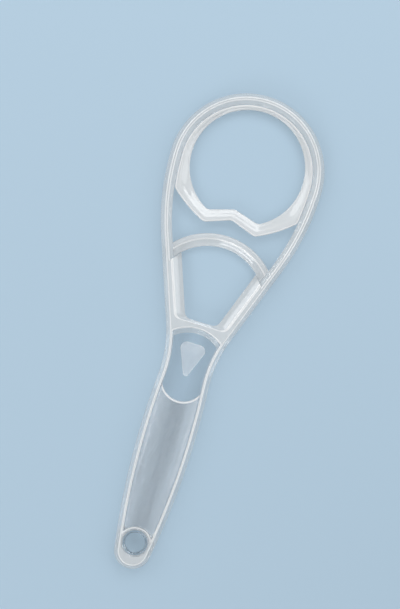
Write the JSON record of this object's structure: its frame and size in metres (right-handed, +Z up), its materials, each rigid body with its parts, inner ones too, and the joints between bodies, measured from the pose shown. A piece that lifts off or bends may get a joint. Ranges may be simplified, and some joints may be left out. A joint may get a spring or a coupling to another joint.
{
  "type": "tongue scraper",
  "caption": "Clear plastic tongue scraper: racket-shaped frame holding a scraper ring with a bow-shaped bar, an arched bridge bar, an inset grip panel and a hang hole.",
  "frame": {"origin": "on the axis of the hang hole, in the plane of the flat back", "axes": "+Y along the tool from the hang hole to the head, +X to its right, +Z up from the flat back that it lies on"},
  "size_m": [0.05, 0.1572, 0.005],
  "materials": {
    "clear_frame": "polished clear styrene, slightly grey",
    "clear_ring": "polished clear styrene with a fine frosted scraping edge",
    "clear_grip": "clear styrene, faintly smoky, with light handling marks"
  },
  "bodies": {
    "root": {"handle_frame": "clear_frame", "scraper_ring": "clear_ring", "bridge_bar": "clear_frame", "grip_panel": "clear_grip", "thumb_pad": "clear_grip", "hang_eyelet": "clear_frame"}
  },
  "joints": []
}
